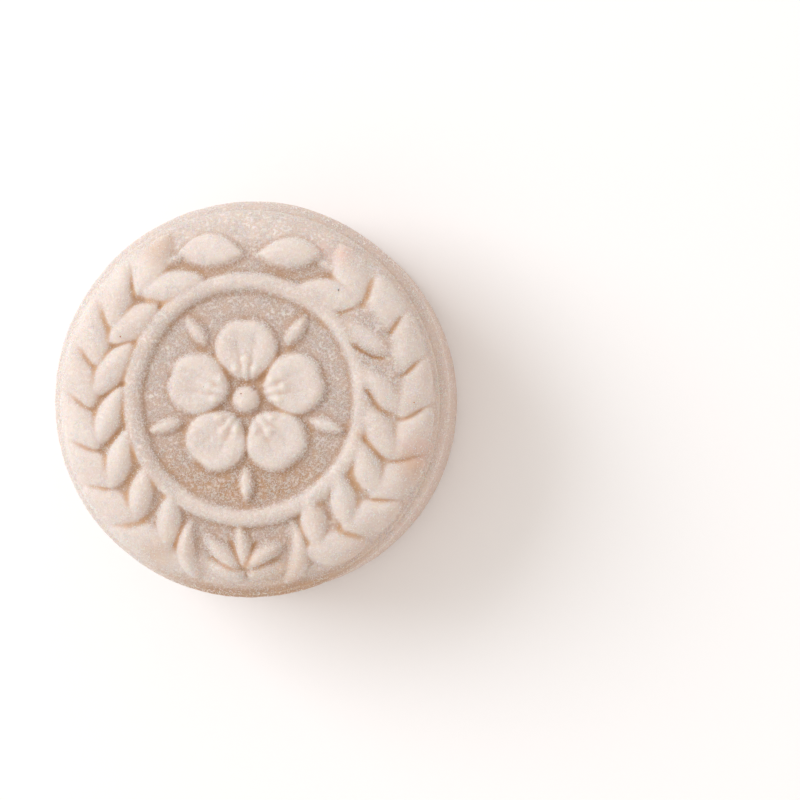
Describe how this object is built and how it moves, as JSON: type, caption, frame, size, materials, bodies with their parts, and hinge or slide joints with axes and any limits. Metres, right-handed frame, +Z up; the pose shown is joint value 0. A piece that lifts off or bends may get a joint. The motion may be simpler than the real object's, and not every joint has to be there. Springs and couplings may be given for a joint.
{
  "type": "mooncake",
  "caption": "Round moulded cake with straight sides, a parting groove and a domed face pressed with a wheat wreath, a ring and a blossom.",
  "frame": {"origin": "middle of the flat base, on the surface that the cake rests on", "axes": "+Z up along the cake's axis and out of its pressed face, +Y towards the open top of the wreath, +X to the right of it"},
  "size_m": [0.0502, 0.0502, 0.0291],
  "materials": {
    "pastry_skin": "pale steamed rice-flour skin, matte and finely grained, slightly translucent"
  },
  "bodies": {
    "root": {"mooncake": "pastry_skin"}
  },
  "joints": []
}
